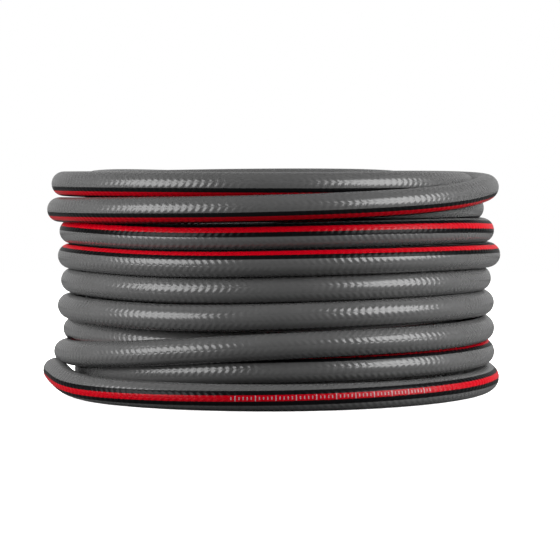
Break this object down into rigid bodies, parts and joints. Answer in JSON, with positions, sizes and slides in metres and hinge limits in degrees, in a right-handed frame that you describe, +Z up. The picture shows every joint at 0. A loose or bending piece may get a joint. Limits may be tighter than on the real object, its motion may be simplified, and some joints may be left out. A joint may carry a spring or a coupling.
{
  "type": "garden hose coil",
  "caption": "Round coil of grey reinforced PVC garden hose with a striped band, wound in two layers and lying flat on its end.",
  "frame": {"origin": "on the floor under the middle of the coil, on the coil's axis", "axes": "+Z up along the coil's axis, away from the end it lies on; X and Y across the coil, which is round"},
  "size_m": [0.3152, 0.3152, 0.1577],
  "materials": {
    "hose_pvc": "satin, embossed with a knit pattern, with a black band that has a red stripe along its middle"
  },
  "bodies": {
    "root": {"hose_coil": "hose_pvc"}
  },
  "joints": []
}
